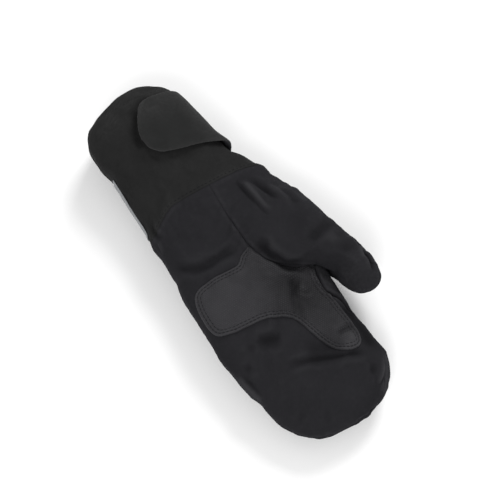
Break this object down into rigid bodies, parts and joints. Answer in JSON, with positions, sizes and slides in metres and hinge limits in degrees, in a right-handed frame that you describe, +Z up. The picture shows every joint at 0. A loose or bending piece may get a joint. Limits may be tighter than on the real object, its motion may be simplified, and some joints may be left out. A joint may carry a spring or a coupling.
{
  "type": "overglove",
  "caption": "Waterproof overmitt for a left hand, lying palm up, with a thumb, a palm patch, a long cuff and a wrap-round closure strap",
  "frame": {"origin": "middle of the bottom of the mitt's bounding box, on the surface it lies on", "axes": "+Y from the cuff's mouth to the fingertip, +X towards the little-finger side with the thumb towards -X, +Z up out of the palm, because the mitt lies on its back"},
  "size_m": [0.1482, 0.3414, 0.0629],
  "materials": {
    "shell_fabric": "matt woven waterproof shell",
    "cuff_fabric": "matt woven waterproof shell",
    "strap_fabric": "smooth faced, cut edges",
    "hook_tape": "fine hooks and loops",
    "palm_grip": "finely grained synthetic leather",
    "reflective_tape": "satin grey reflective"
  },
  "bodies": {
    "root": {"palm_panel": "shell_fabric", "back_panel": "shell_fabric", "thumb_front_panel": "shell_fabric", "thumb_back_panel": "shell_fabric", "cuff": "cuff_fabric", "closure_strap": "strap_fabric", "strap_hook_pad": "hook_tape", "palm_patch": "palm_grip", "reflective_strip": "reflective_tape"}
  },
  "joints": []
}
